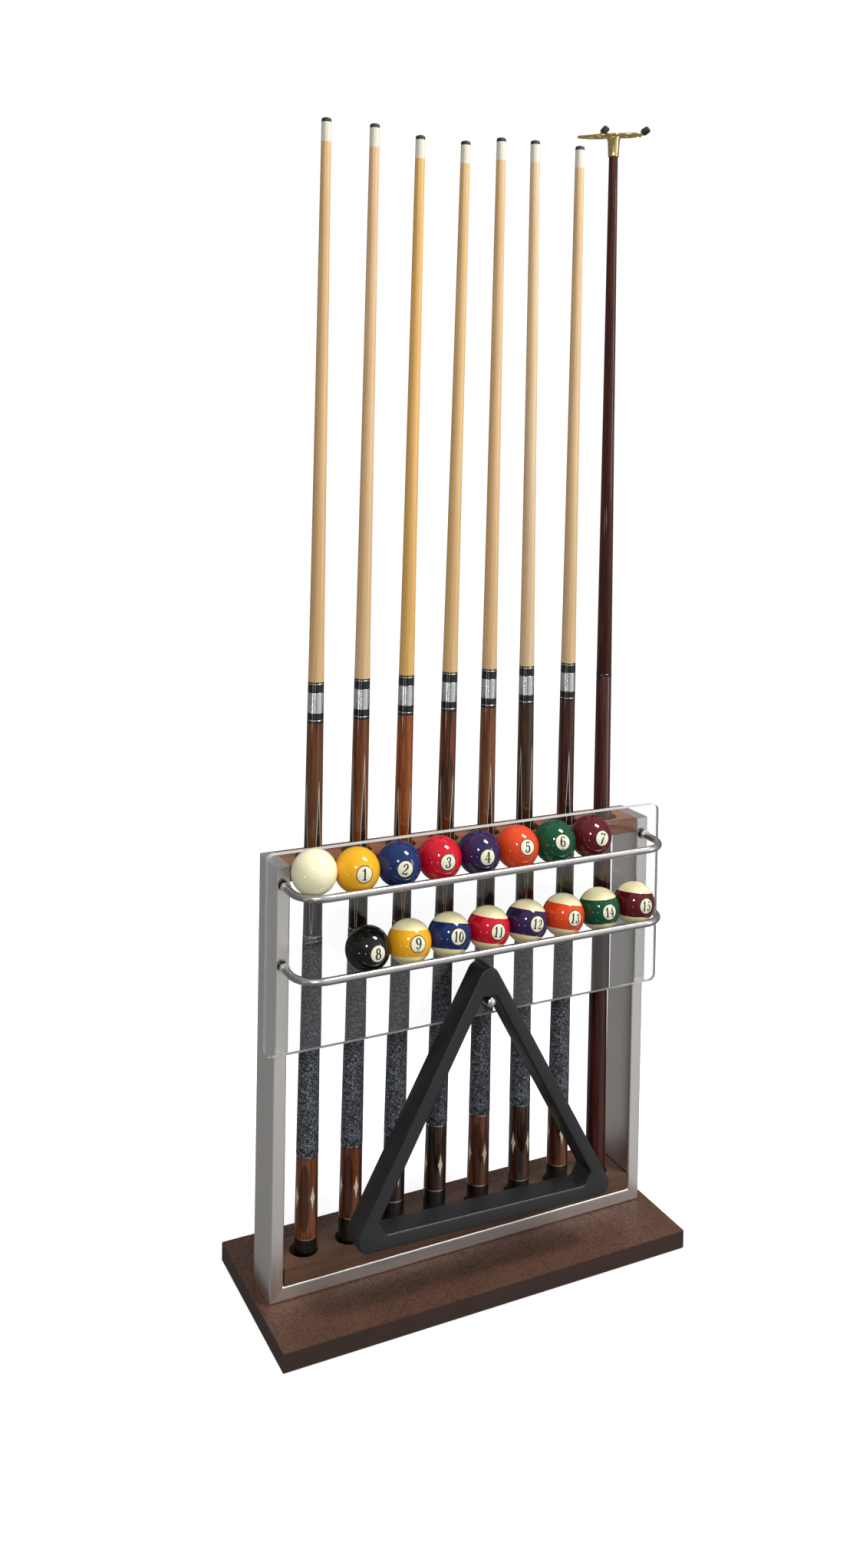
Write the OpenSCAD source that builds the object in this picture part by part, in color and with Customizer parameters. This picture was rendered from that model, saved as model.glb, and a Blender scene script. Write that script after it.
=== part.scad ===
// Free-standing cue rack: base board, mitred steel frame, drilled cue rail and tray,
// clear front panel with two ball rails, and the set it holds: seven cues, a bridge,
// sixteen balls and a racking triangle.
// Frame: origin on the floor under the middle of the base, +X to the right,
// +Y to the back, +Z up. Millimetres.

/* [Base] */
// Width of the base board
base_w = 585; // [585:1:640]
// Depth of the base board
base_d = 239; // [232:1:280]
// Thickness of the base board
base_t = 23; // [16:1:30]
// Thickness of the sheet on top of the base
sheet_t = 1.2; // [0.8:0.2:2]
// Thickness of the rubber feet
foot_t = 2; // [1:0.5:4]

/* [Steel frame] */
// Outside width of the frame
frame_w = 557.6; // [550:0.2:560]
// Height of the frame above the base
frame_h = 552.8; // [545:0.2:560]
// Depth of the tube
tube_d = 61.5; // [56:0.5:70]
// Face width of the tube
tube_w = 18.6; // [17:0.2:20]
// Wall thickness of the tube
tube_wall = 1.8; // [1.5:0.1:2.5]
// Corner radius of the tube
tube_r = 2.4; // [2:0.1:3]

/* [Cue rail and tray] */
// Thickness of the upper cue rail
rail_t = 19; // [16:1:24]
// Thickness of the lower cue tray
tray_t = 22; // [20:1:26]
// Distance between cue holes
cue_pitch = 63.4; // [62:0.2:64]
// Hole radius in the upper rail
rail_hole_r = 20; // [20:0.1:21]
// Hole radius in the tray
tray_hole_r = 18.5; // [18.4:0.1:20]
// Thickness of the pad under each cue
pad_t = 2; // [1:0.5:3]

/* [Front panel and ball rails] */
// Width of the clear panel
panel_w = 585; // [580:1:585]
// Height of the clear panel
panel_h = 253; // [250:1:256]
// Thickness of the clear panel
panel_t = 10; // [8:0.5:10]
// Height of the panel's lower edge above the floor
panel_z = 345.2; // [344:0.2:347]
// Radius of the panel's corners
panel_r = 9; // [6:0.5:12]
// Diameter of the ball rails
rod_dia = 9.5; // [9:0.1:10]
// Reach of the ball rails in front of the panel
rod_reach = 56.5; // [56:0.1:57]
// Bend radius of the ball rails
bend_r = 35.8; // [34:0.2:37]
// Height of the upper ball rail
upper_rod_z = 556.3; // [555:0.1:557]
// Height of the lower ball rail
lower_rod_z = 454.8; // [454:0.1:456]

/* [Balls] */
// Ball diameter
ball_dia = 57.15; // [57.0:0.05:57.2]
// Distance between the centres of neighbouring balls
ball_pitch = 57.5; // [57.5:0.1:57.8]
// Sideways place of the first ball on the upper rail
upper_first_x = -243.3; // [-244:0.1:-242]
// Sideways place of the first ball on the lower rail
lower_first_x = -169.7; // [-175:0.1:-165]

/* [Triangle and peg] */
// Radius of the peg
peg_r = 6; // [5:0.5:6.5]
// Height of the peg's outer end
peg_tip_z = 383; // [382:0.5:385]
// How far the peg stands out of the panel
peg_reach = 49.4; // [48:0.2:51]
// Upward tilt of the peg in degrees
peg_tilt = 4.5; // [4:0.5:5]
// Inside edge length of the triangle
tri_side = 328.5; // [328:0.5:336]
// Wall thickness of the triangle
tri_wall = 18; // [14:0.5:19]
// Depth of the triangle
tri_depth = 38; // [32:1:38]
// Sideways swing of the hanging triangle in degrees
tri_roll = 1.5; // [0:0.5:3]

/* [Cues] */
// Radius of a cue's butt end
butt_r = 15.2; // [14.5:0.1:15.3]
// Radius of a cue at its joint
joint_r = 10.3; // [10:0.1:10.8]
// Radius of a cue's tip
tip_r = 6.4; // [6:0.1:6.8]
// Thickness of the linen wrap
wrap_t = 0.4; // [0.3:0.1:0.6]

/* [Hidden] */

gap = 0.3;              // free play between pieces that move apart
slack = 0.05;           // clearance of a screw in its own hole
loose = 0.3;            // clearance of a stud or screw that passes through a piece
$fn = 96;
round_fn = 32;          // small round holes and rods
disc_fn = 48;           // washers, heads and feet
turned_fn = 64;         // cues, stick and peg
hex_fn = 6;

// Heights of the stack, from the floor up
board_z = foot_t;
sheet_z = board_z + base_t;
frame_z = sheet_z + sheet_t;
tray_z = frame_z + tube_w;
pad_z = tray_z;
cue_z = pad_z + pad_t + gap;
frame_top = frame_z + frame_h;
rail_z = frame_top - rail_t;
inner_w = frame_w - 2 * tube_w;

// Depths, from the frame's front face forwards
front_y = -tube_d / 2;
spacer_t = 0.8;
panel_y = front_y - spacer_t - panel_t;
washer_t = 2;
rod_r = rod_dia / 2;
rod_y = panel_y - rod_reach;
rod_half = frame_w / 2 - tube_w / 2;
stud_r = 3;
spacer_r = 6.5;
washer_r = 7;
nut_r = 5.8;
nut_t = 5;

// A ball touches the panel behind it and the rod in front of and below it
ball_r = ball_dia / 2;
ball_y = panel_y - ball_r - gap;
ball_rod = ball_r + rod_r + 2 * gap;
ball_rise = sqrt(pow(ball_rod, 2) - pow(ball_y - rod_y, 2));

// The first ball of the upper row lies over the bend, so it sits a little higher
bend_x = -rod_half + bend_r;
bend_gap = bend_r - norm([upper_first_x - bend_x, ball_y - rod_y - bend_r]);
first_rise = sqrt(pow(ball_rod, 2) - pow(bend_gap, 2));

// Cue holes
cue_count = 8;
first_hole = -cue_pitch * (cue_count - 1) / 2;

// Feet under the base
foot_r = 14;
foot_in = 30;

// Four long screws between the holes hold the base, the frame and the tray together
screw_x = [for (k = [0, 2, 4, 6]) first_hole + (k + 0.5) * cue_pitch];
screw_r = 3;
screw_head_r = 6;
screw_head_t = 3.5;
screw_key_r = 2;
screw_sink = 5;
screw_bite = 12;

// Pins that carry the upper rail between the uprights
pin_r = 3;
pin_l = 24;
pin_y = [-18, 18];
edge_set = 0.6;         // the wood is set back from the steel by this much
rail_end_play = 0.1;
tray_end_play = 1.5;

// How each cue leans in its holes: sideways offset at the tray and at the rail
foot_shift = [2.6, 0.6, -1.0, -2.7, 0.7, 2.5, 1.4, 2.8];
rail_shift = [4.4, 4.4, 4.2, 4.4, 3.3, 0.8, 3.2, 1.4];
cue_len = [1472, 1472, 1464, 1464, 1474, 1476, 1476];

// Distances along a cue from its bumper
wrap_from = 142;
wrap_to = 429;
joint_at = 754;
joint_pin_r = 4;
joint_pin_l = 22;
dome = 2.5;             // height of the rounded end of a cue's tip and of the peg
butt_edge = 4;          // height of the rounded foot of a cue

// Peg and triangle
peg_root_z = peg_tip_z - peg_reach * tan(peg_tilt);
tri_front = 42.5;       // from the peg's root forwards to the triangle's front face
tri_in_r = 16;
tri_out_r = 15;
peg_dome_r = (peg_r * peg_r + dome * dome) / (2 * dome);
peg_screw_r = 2.5;
peg_screw_bite = 14;
peg_head_r = 5;
peg_head_t = 3;
peg_key_r = 1.8;

// Bridge: a plain stick with a brass head on rubber feet
stick_foot_r = 14;
stick_top_r = 6.2;
head_z = 1493;          // underside of the head plate, along the stick
socket_l = 27;
socket_cap = 8;         // solid top of the socket, over the end of the stick
socket_r = 8.2;
plate_t = 4;
stick_top = head_z - socket_cap - 1;
bridge_turn = -44;      // of the head about the stick
bridge_legs = [[-18, -7, 40], [36, 0, 58]];     // place and tilt of each leg
leg_r = 3.2;
leg_l = 9.5;
pad_r = 5;
pad_from = 7;           // along the leg, clear of the plate's edge
pad_l = 3;

function hole_x(i) = first_hole + i * cue_pitch;

// ---------------------------------------------------------------- shared shapes

module round_rect(w, h, r) {
    square([w - 2 * r, h], center = true);
    square([w, h - 2 * r], center = true);
    for (x = [-1, 1], y = [-1, 1])
        translate([x * (w / 2 - r), y * (h / 2 - r)]) circle(r, $fn = round_fn);
}

// Bar of tube section along Z, from z = 0 up
module tube_section(len, inset = 0) {
    linear_extrude(len)
        round_rect(tube_w - 2 * inset, tube_d - 2 * inset, max(tube_r - inset, 0.6));
}

// Triangle with its corners rounded to r, pointing up, centred on its middle
module round_triangle(side, r) {
    reach = side / sqrt(3) - 2 * r;
    polygon([for (a = [90, 210, 330], turn = [-60 : 5 : 60])
        [reach * cos(a) + r * cos(a + turn), reach * sin(a) + r * sin(a + turn)]]);
}

// Places a cue that stands in hole i, with its own axis along Z
module at_cue(i) {
    foot = [hole_x(i) + foot_shift[i], 0, cue_z];
    lean = atan2(rail_shift[i] - foot_shift[i], rail_z + rail_t / 2 - cue_z);
    translate(foot) rotate([0, lean, 0]) children();
}

// ---------------------------------------------------------------- base

module base_board() {
    color("saddlebrown") difference() {
        translate([-base_w / 2, -base_d / 2, board_z]) cube([base_w, base_d, base_t]);
        for (x = screw_x) translate([x, 0, board_z - 1]) {
            cylinder(r = screw_r + loose, h = base_t + 2, $fn = round_fn);
            cylinder(r = screw_head_r + loose, h = screw_sink + 1, $fn = disc_fn);
        }
    }
}

module base_top_sheet() {
    color("sienna") difference() {
        translate([-base_w / 2, -base_d / 2, sheet_z]) cube([base_w, base_d, sheet_t]);
        for (x = screw_x) translate([x, 0, sheet_z - 1])
            cylinder(r = screw_r + loose, h = sheet_t + 2, $fn = round_fn);
    }
}

module base_feet() {
    color("dimgray") for (x = [-1, 1], y = [-1, 1])
        translate([x * (base_w / 2 - foot_in), y * (base_d / 2 - foot_in), 0])
            cylinder(r = foot_r, h = foot_t, $fn = disc_fn);
}

module frame_screws() {
    color("silver") for (x = screw_x) translate([x, 0, board_z]) {
        translate([0, 0, screw_sink - screw_head_t]) difference() {
            cylinder(r = screw_head_r, h = screw_head_t, $fn = disc_fn);
            translate([0, 0, -1]) cylinder(r = screw_key_r, h = screw_head_t - 0.5, $fn = hex_fn);
        }
        translate([0, 0, screw_sink])
            cylinder(r = screw_r, h = tray_z + screw_bite - board_z - screw_sink, $fn = round_fn);
    }
}

// ---------------------------------------------------------------- steel frame

module upright(side) {
    x = side * (frame_w - tube_w) / 2;
    color("silver") difference() {
        translate([x, 0, frame_z]) tube_section(frame_h);
        translate([x, 0, frame_z - 1]) tube_section(frame_h + 1 - tube_wall, tube_wall);
        // mitred foot
        translate([side * frame_w / 2, 0, frame_z]) rotate([0, side * 45, 0])
            translate([-frame_w, -tube_d, -frame_w])
                cube([2 * frame_w, 2 * tube_d, frame_w]);
        // studs of the ball rails
        for (z = [upper_rod_z, lower_rod_z]) translate([x, front_y - 1, z]) rotate([-90, 0, 0])
            cylinder(r = stud_r + slack, h = tube_wall + 2, $fn = round_fn);
        // pins of the upper rail
        for (y = pin_y) translate([x, y, rail_z + rail_t / 2]) rotate([0, -side * 90, 0])
            cylinder(r = pin_r + slack, h = tube_w, $fn = round_fn);
    }
}

module left_upright() { upright(-1); }
module right_upright() { upright(1); }

module bottom_rail() {
    color("silver") difference() {
        translate([-frame_w / 2, 0, frame_z + tube_w / 2]) rotate([0, 90, 0])
            tube_section(frame_w);
        translate([-frame_w / 2 - 1, 0, frame_z + tube_w / 2]) rotate([0, 90, 0])
            tube_section(frame_w + 2, tube_wall);
        for (side = [-1, 1])
            translate([side * frame_w / 2, 0, frame_z]) rotate([0, side * 45, 0])
                translate([-frame_w, -tube_d, 0])
                    cube([2 * frame_w, 2 * tube_d, frame_w]);
        for (x = screw_x) translate([x, 0, frame_z - 1])
            cylinder(r = screw_r + slack, h = tube_w + 2, $fn = round_fn);
    }
}

// ---------------------------------------------------------------- cue rail and tray

module cue_holes(r, z, h) {
    for (i = [0 : cue_count - 1]) translate([hole_x(i), 0, z]) cylinder(r = r, h = h);
}

module upper_cue_rail() {
    color("chocolate") difference() {
        translate([-inner_w / 2 + rail_end_play, front_y + edge_set, rail_z])
            cube([inner_w - 2 * rail_end_play, tube_d - 2 * edge_set, rail_t]);
        cue_holes(rail_hole_r, rail_z - 1, rail_t + 2);
        for (side = [-1, 1], y = pin_y)
            translate([side * inner_w / 2, y, rail_z + rail_t / 2]) rotate([0, -side * 90, 0])
                translate([0, 0, -1]) cylinder(r = pin_r + slack, h = pin_l / 2 + 2, $fn = round_fn);
    }
}

module rail_pins() {
    color("silver") for (side = [-1, 1], y = pin_y)
        translate([side * (inner_w / 2 + pin_l / 2 - 1), y, rail_z + rail_t / 2])
            rotate([0, -side * 90, 0]) cylinder(r = pin_r, h = pin_l, $fn = round_fn);
}

module lower_cue_tray() {
    color("saddlebrown") difference() {
        translate([-inner_w / 2 + tray_end_play, front_y + edge_set, tray_z])
            cube([inner_w - 2 * tray_end_play, tube_d - 2 * edge_set, tray_t]);
        cue_holes(tray_hole_r, tray_z - 1, tray_t + 2);
        for (x = screw_x) translate([x, 0, tray_z - 1])
            cylinder(r = screw_r + slack, h = screw_bite + 1, $fn = round_fn);
    }
}

module hole_pads() {
    color("black") for (i = [0 : cue_count - 1])
        translate([hole_x(i), 0, pad_z]) cylinder(r = tray_hole_r - 0.1, h = pad_t);
}

// ---------------------------------------------------------------- panel and ball rails

module at_studs() {
    for (side = [-1, 1], z = [upper_rod_z, lower_rod_z])
        translate([side * rod_half, 0, z]) rotate([90, 0, 0]) children();
}

module acrylic_panel() {
    color("lightblue", 0.4) difference() {
        translate([0, panel_y + panel_t, panel_z + panel_h / 2]) rotate([90, 0, 0])
            linear_extrude(panel_t) round_rect(panel_w, panel_h, panel_r);
        at_studs() translate([0, 0, -front_y - 1])
            cylinder(r = stud_r + loose, h = panel_t + 4, $fn = round_fn);
        translate([0, panel_y - 1, peg_root_z]) rotate([-90, 0, 0])
            cylinder(r = peg_screw_r + loose, h = panel_t + 2, $fn = round_fn);
    }
}

module panel_spacers() {
    color("black") at_studs() translate([0, 0, -front_y]) difference() {
        cylinder(r = spacer_r, h = spacer_t, $fn = disc_fn);
        translate([0, 0, -1]) cylinder(r = stud_r + loose, h = spacer_t + 2, $fn = round_fn);
    }
}

module rail_washers() {
    color("gainsboro") at_studs() translate([0, 0, -panel_y]) difference() {
        cylinder(r = washer_r, h = washer_t, $fn = disc_fn);
        translate([0, 0, -1]) cylinder(r = stud_r + slack, h = washer_t + 2, $fn = round_fn);
    }
}

module rail_nuts() {
    color("silver") at_studs() translate([0, 0, -front_y - tube_wall - nut_t]) difference() {
        cylinder(r = nut_r, h = nut_t, $fn = hex_fn);
        translate([0, 0, -1]) cylinder(r = stud_r + slack, h = nut_t + 2, $fn = round_fn);
    }
}

// Rod bent to a flat U, with a thinner stud on each end that passes through the panel
module ball_rail(z) {
    leg = rod_reach - bend_r - washer_t;
    stud = washer_t + panel_t + spacer_t + tube_wall + nut_t + 1;
    translate([0, 0, z]) {
        translate([-rod_half + bend_r, rod_y, 0]) rotate([0, 90, 0])
            cylinder(r = rod_r, h = 2 * (rod_half - bend_r), $fn = disc_fn);
        for (side = [-1, 1]) {
            translate([side * (rod_half - bend_r), rod_y + bend_r, 0])
                rotate(side > 0 ? -90 : 180)
                    rotate_extrude(angle = 90) translate([bend_r, 0]) circle(rod_r, $fn = disc_fn);
            translate([side * rod_half, rod_y + bend_r, 0]) rotate([-90, 0, 0]) {
                cylinder(r = rod_r, h = leg, $fn = disc_fn);
                cylinder(r = stud_r, h = leg + stud, $fn = round_fn);
            }
        }
    }
}

module upper_ball_rail() { color("gainsboro") ball_rail(upper_rod_z); }
module lower_ball_rail() { color("gainsboro") ball_rail(lower_rod_z); }

// ---------------------------------------------------------------- peg and triangle

// Frame of the tilted peg: origin on its axis at the panel's face, +Z along it, outwards
module at_peg() {
    translate([0, panel_y, peg_root_z]) rotate([90 - peg_tilt, 0, 0]) children();
}

module triangle_peg() {
    len = peg_reach / cos(peg_tilt);
    color("whitesmoke") difference() {
        at_peg() {
            translate([0, 0, -2]) cylinder(r = peg_r, h = len + 2 - dome, $fn = turned_fn);
            translate([0, 0, len - dome]) intersection() {
                translate([0, 0, dome - peg_dome_r]) sphere(r = peg_dome_r);
                cylinder(r = peg_r, h = dome + 1, $fn = turned_fn);
            }
        }
        translate([-20, panel_y, peg_root_z - 20]) cube([40, 40, 40]);
        translate([0, panel_y - peg_screw_bite, peg_root_z]) rotate([-90, 0, 0])
            cylinder(r = peg_screw_r + slack, h = peg_screw_bite + 1, $fn = round_fn);
    }
}

module peg_screw() {
    back = panel_y + panel_t;
    color("silver") {
        translate([0, panel_y - peg_screw_bite + 1, peg_root_z]) rotate([-90, 0, 0])
            cylinder(r = peg_screw_r, h = back - panel_y + peg_screw_bite - 1, $fn = round_fn);
        translate([0, back, peg_root_z]) rotate([-90, 0, 0]) difference() {
            cylinder(r = peg_head_r, h = peg_head_t, $fn = disc_fn);
            translate([0, 0, peg_head_t / 2]) cylinder(r = peg_key_r, h = peg_head_t, $fn = hex_fn);
        }
    }
}

// Hangs on the peg by the inside of its top corner
module triangle_rack() {
    out_side = tri_side + 2 * sqrt(3) * tri_wall;
    inner_top = tri_side / sqrt(3) - tri_in_r;
    color("#242426") at_peg() rotate(-tri_roll)
        translate([0, peg_r + gap - inner_top, tri_front - tri_depth])
            linear_extrude(tri_depth) difference() {
                round_triangle(out_side, tri_out_r);
                round_triangle(tri_side, tri_in_r);
            }
}

// ---------------------------------------------------------------- cues and bridge

function cue_radius(t, len) =
    t < joint_at ? butt_r + (joint_r - butt_r) * t / joint_at
                 : joint_r + (tip_r - joint_r) * pow((t - joint_at) / (len - joint_at), 0.75);

module cue_shaft(i) {
    len = cue_len[i];
    steps = 10;
    top = len - dome;
    color("burlywood") at_cue(i) difference() {
        rotate_extrude($fn = turned_fn) polygon(concat(
            [[0, joint_at]],
            [for (k = [0 : steps]) let (t = joint_at + (top - joint_at) * k / steps)
                [cue_radius(t, len), t]],
            [[tip_r * 0.55, len - 0.4], [0, len]]));
        translate([0, 0, joint_at - 1])
            cylinder(r = joint_pin_r + slack, h = joint_pin_l + 2, $fn = round_fn);
    }
}

module cue_butt(i) {
    len = cue_len[i];
    color("maroon") at_cue(i) {
        rotate_extrude($fn = turned_fn) polygon([
            [0, 0], [butt_r - 2.5, 0], [butt_r - 0.6, 0.3 * butt_edge], [butt_r, butt_edge],
            [cue_radius(wrap_from, len), wrap_from],
            [cue_radius(wrap_from, len) - wrap_t, wrap_from],
            [cue_radius(wrap_to, len) - wrap_t, wrap_to],
            [cue_radius(wrap_to, len), wrap_to],
            [joint_r, joint_at], [0, joint_at]]);
        translate([0, 0, joint_at - 1])
            cylinder(r = joint_pin_r, h = joint_pin_l + 1, $fn = round_fn);
    }
}

module cue_wrap(i) {
    len = cue_len[i];
    color("dimgray") at_cue(i) rotate_extrude($fn = turned_fn) polygon([
        [cue_radius(wrap_from, len) - wrap_t, wrap_from],
        [cue_radius(wrap_from, len), wrap_from],
        [cue_radius(wrap_to, len), wrap_to],
        [cue_radius(wrap_to, len) - wrap_t, wrap_to]]);
}

module cue_1_shaft() { cue_shaft(0); }
module cue_1_butt() { cue_butt(0); }
module cue_1_wrap() { cue_wrap(0); }
module cue_2_shaft() { cue_shaft(1); }
module cue_2_butt() { cue_butt(1); }
module cue_2_wrap() { cue_wrap(1); }
module cue_3_shaft() { cue_shaft(2); }
module cue_3_butt() { cue_butt(2); }
module cue_3_wrap() { cue_wrap(2); }
module cue_4_shaft() { cue_shaft(3); }
module cue_4_butt() { cue_butt(3); }
module cue_4_wrap() { cue_wrap(3); }
module cue_5_shaft() { cue_shaft(4); }
module cue_5_butt() { cue_butt(4); }
module cue_5_wrap() { cue_wrap(4); }
module cue_6_shaft() { cue_shaft(5); }
module cue_6_butt() { cue_butt(5); }
module cue_6_wrap() { cue_wrap(5); }
module cue_7_shaft() { cue_shaft(6); }
module cue_7_butt() { cue_butt(6); }
module cue_7_wrap() { cue_wrap(6); }

module bridge_stick() {
    color("#3a1410") at_cue(7) rotate_extrude($fn = turned_fn) polygon([
        [0, 0], [stick_foot_r - 2, 0], [stick_foot_r, 3], [stick_foot_r, 40],
        [10.6, joint_at], [8.4, 1080], [stick_top_r, stick_top], [0, stick_top]]);
}

module bridge_head() {
    left_tip = 52;
    right_tip = 38;
    color("goldenrod") at_cue(7) rotate(bridge_turn) {
        // socket over the end of the stick
        difference() {
            translate([0, 0, head_z - socket_l])
                cylinder(r1 = socket_r - 1, r2 = socket_r, h = socket_l, $fn = disc_fn);
            translate([0, 0, head_z - socket_l - 1])
                cylinder(r = stick_top_r + loose, h = socket_l - socket_cap + 1, $fn = disc_fn);
        }
        // openwork plate with a pointed loop on one side and a round one on the other
        translate([0, 0, head_z]) linear_extrude(plate_t) difference() {
            union() {
                circle(16);
                polygon([[-left_tip, 0], [-14, 15], [8, 15], [8, -15], [-14, -15]]);
                polygon([[0, 14], [right_tip, 10], [right_tip, -10], [0, -14]]);
            }
            polygon([[-left_tip + 10, 0], [-15, 9.5], [-12, 0], [-15, -9.5]]);
            translate([25, 0]) circle(7.5);
        }
        // two short legs that carry the rubber feet
        for (p = bridge_legs) translate([p[0], p[1], head_z + plate_t / 2])
            rotate([0, p[2], 0]) cylinder(r = leg_r, h = leg_l, $fn = round_fn);
    }
}

module bridge_feet() {
    color("#1a1a1a") at_cue(7) rotate(bridge_turn) for (p = bridge_legs)
        translate([p[0], p[1], head_z + plate_t / 2]) rotate([0, p[2], 0])
            translate([0, 0, pad_from]) difference() {
                union() {
                    cylinder(r = pad_r, h = pad_l, $fn = disc_fn);
                    translate([0, 0, pad_l]) sphere(r = pad_r, $fn = disc_fn);
                }
                translate([0, 0, -pad_r])
                    cylinder(r = leg_r + slack, h = leg_l - pad_from + slack + pad_r, $fn = round_fn);
            }
}

// ---------------------------------------------------------------- balls

module ball(x, z, tint) {
    color(tint) translate([x, ball_y, z]) sphere(ball_r);
}
module upper_ball(k, tint) {
    ball(upper_first_x + k * ball_pitch, upper_rod_z + (k == 0 ? first_rise : ball_rise), tint);
}
module lower_ball(k, tint) {
    ball(lower_first_x + k * ball_pitch, lower_rod_z + ball_rise, tint);
}

module cue_ball() { upper_ball(0, "ivory"); }
module ball_1() { upper_ball(1, "gold"); }
module ball_2() { upper_ball(2, "midnightblue"); }
module ball_3() { upper_ball(3, "crimson"); }
module ball_4() { upper_ball(4, "indigo"); }
module ball_5() { upper_ball(5, "orangered"); }
module ball_6() { upper_ball(6, "darkgreen"); }
module ball_7() { upper_ball(7, "maroon"); }
module ball_8() { lower_ball(0, "black"); }
module ball_9() { lower_ball(1, "gold"); }
module ball_10() { lower_ball(2, "midnightblue"); }
module ball_11() { lower_ball(3, "crimson"); }
module ball_12() { lower_ball(4, "indigo"); }
module ball_13() { lower_ball(5, "orangered"); }
module ball_14() { lower_ball(6, "darkgreen"); }
module ball_15() { lower_ball(7, "maroon"); }

// ---------------------------------------------------------------- build

base_board();
base_top_sheet();
base_feet();
left_upright();
right_upright();
bottom_rail();
upper_cue_rail();
lower_cue_tray();
hole_pads();
acrylic_panel();
panel_spacers();
upper_ball_rail();
lower_ball_rail();
rail_washers();
rail_nuts();
rail_pins();
frame_screws();
triangle_peg();
peg_screw();
triangle_rack();
cue_1_shaft();
cue_1_butt();
cue_1_wrap();
cue_2_shaft();
cue_2_butt();
cue_2_wrap();
cue_3_shaft();
cue_3_butt();
cue_3_wrap();
cue_4_shaft();
cue_4_butt();
cue_4_wrap();
cue_5_shaft();
cue_5_butt();
cue_5_wrap();
cue_6_shaft();
cue_6_butt();
cue_6_wrap();
cue_7_shaft();
cue_7_butt();
cue_7_wrap();
bridge_stick();
bridge_head();
bridge_feet();
cue_ball();
ball_1();
ball_2();
ball_3();
ball_4();
ball_5();
ball_6();
ball_7();
ball_8();
ball_9();
ball_10();
ball_11();
ball_12();
ball_13();
ball_14();
ball_15();
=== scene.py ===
"""Looks of the free-standing cue rack: materials for its frame, and detailed cues, balls,
bridge and triangle in place of their plain CAD solids. Metres, in the CAD's own frame."""

import math

import bmesh
import bpy
import numpy as np
from mathutils import Matrix, Vector


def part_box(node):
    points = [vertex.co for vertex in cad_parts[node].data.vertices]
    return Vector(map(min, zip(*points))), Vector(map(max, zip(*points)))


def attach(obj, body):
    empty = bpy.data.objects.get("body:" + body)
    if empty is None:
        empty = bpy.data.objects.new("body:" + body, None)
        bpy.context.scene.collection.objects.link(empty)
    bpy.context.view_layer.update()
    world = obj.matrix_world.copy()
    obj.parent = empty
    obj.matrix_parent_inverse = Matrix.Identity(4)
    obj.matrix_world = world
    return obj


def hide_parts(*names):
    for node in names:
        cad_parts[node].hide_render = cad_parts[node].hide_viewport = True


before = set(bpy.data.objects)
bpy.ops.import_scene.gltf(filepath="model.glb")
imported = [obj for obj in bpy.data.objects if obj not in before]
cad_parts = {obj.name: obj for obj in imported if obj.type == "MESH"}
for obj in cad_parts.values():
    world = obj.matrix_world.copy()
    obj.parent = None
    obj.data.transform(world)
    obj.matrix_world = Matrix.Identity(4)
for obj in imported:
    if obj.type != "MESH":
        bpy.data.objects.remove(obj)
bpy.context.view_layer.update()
MM = 0.001

# ---------------------------------------------------------------- sizes shared with the CAD

HOLE_PITCH = 63.4
FIRST_HOLE = -221.9
CUE_Z = 47.1
RAIL_MIDDLE = 569.5
FOOT_SHIFT = [2.6, 0.6, -1.0, -2.7, 0.7, 2.5, 1.4, 2.8]
RAIL_SHIFT = [4.4, 4.4, 4.2, 4.4, 3.3, 0.8, 3.2, 1.4]
CUE_LENGTH = [1472, 1472, 1464, 1464, 1474, 1476, 1476]
BUTT_R, JOINT_R, TIP_R = 15.2, 10.3, 6.4
JOINT_AT = 754
WRAP_FROM, WRAP_TO = 142, 429
BALL_R = 28.575
BRIDGE_TURN = -44

# ---------------------------------------------------------------- sizes of the details

# millimetres up a cue from its foot, or down from its tip where so named
CAP_TOP = [38, 50, 57, 57, 48, 40, 46]
BUMPER_TOP = 8
FOREARM_TOP = 702
STAR_AT, STAR_HALF_HEIGHT = 92.0, 16.5
TIP_LONG, FERRULE_LONG = 6.2, 31
# how far collars, rings and thread stand proud of the wood, and how far the thread's ends sink in
RING_PROUD, THREAD_PROUD, THREAD_END = 0.05, 0.25, 0.3
# what the joint is stacked from: name, bottom, top, finish
JOINT_STACK = [
    ("collar_rim", 752.6, 754.6, "black"),
    ("upper_ring", 751.6, 752.6, "silver"),
    ("upper_collar", 741, 751.6, "black"),
    ("joint_steel", 715, 741, "polished"),
    ("lower_collar", 706.2, 715, "black"),
    ("lower_ring", 705.2, 706.2, "silver"),
    ("collar_foot", FOREARM_TOP, 705.2, "black"),
]
# quarter turns round a cue: half width of a star, and of a point where it leaves the wrap
STAR_HALF_WIDTH, POINT_HALF_WIDTH = 0.165, 0.47
# how hollow a star's sides are: 1 is a plain diamond
STAR_CURVE = 0.76
# ball radii: number disc, dark ring round it, half width of the stripe, blur of their edges
DISC_R, RING_R, STRIPE_HALF, EDGE_BLUR = 0.340, 0.379, 0.555, 0.005
# height of a number in ball radii and how narrow it is, with one digit and with two
NUMERAL = {1: (0.49, 0.92), 2: (0.45, 0.76)}
DIGIT_PITCH = 0.255
UNDERLINE_ROOM = 0.06
# bridge, up its stick: where the butt and the black band end, and the middle of the head
BRIDGE_BUTT_TOP, BRIDGE_BAND_TOP, HEAD_Z = 731.5, 735.5, 1496.0
LOOP_R, SCROLL_R = 2.0, 1.3

# ---------------------------------------------------------------- camera and studio

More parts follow.
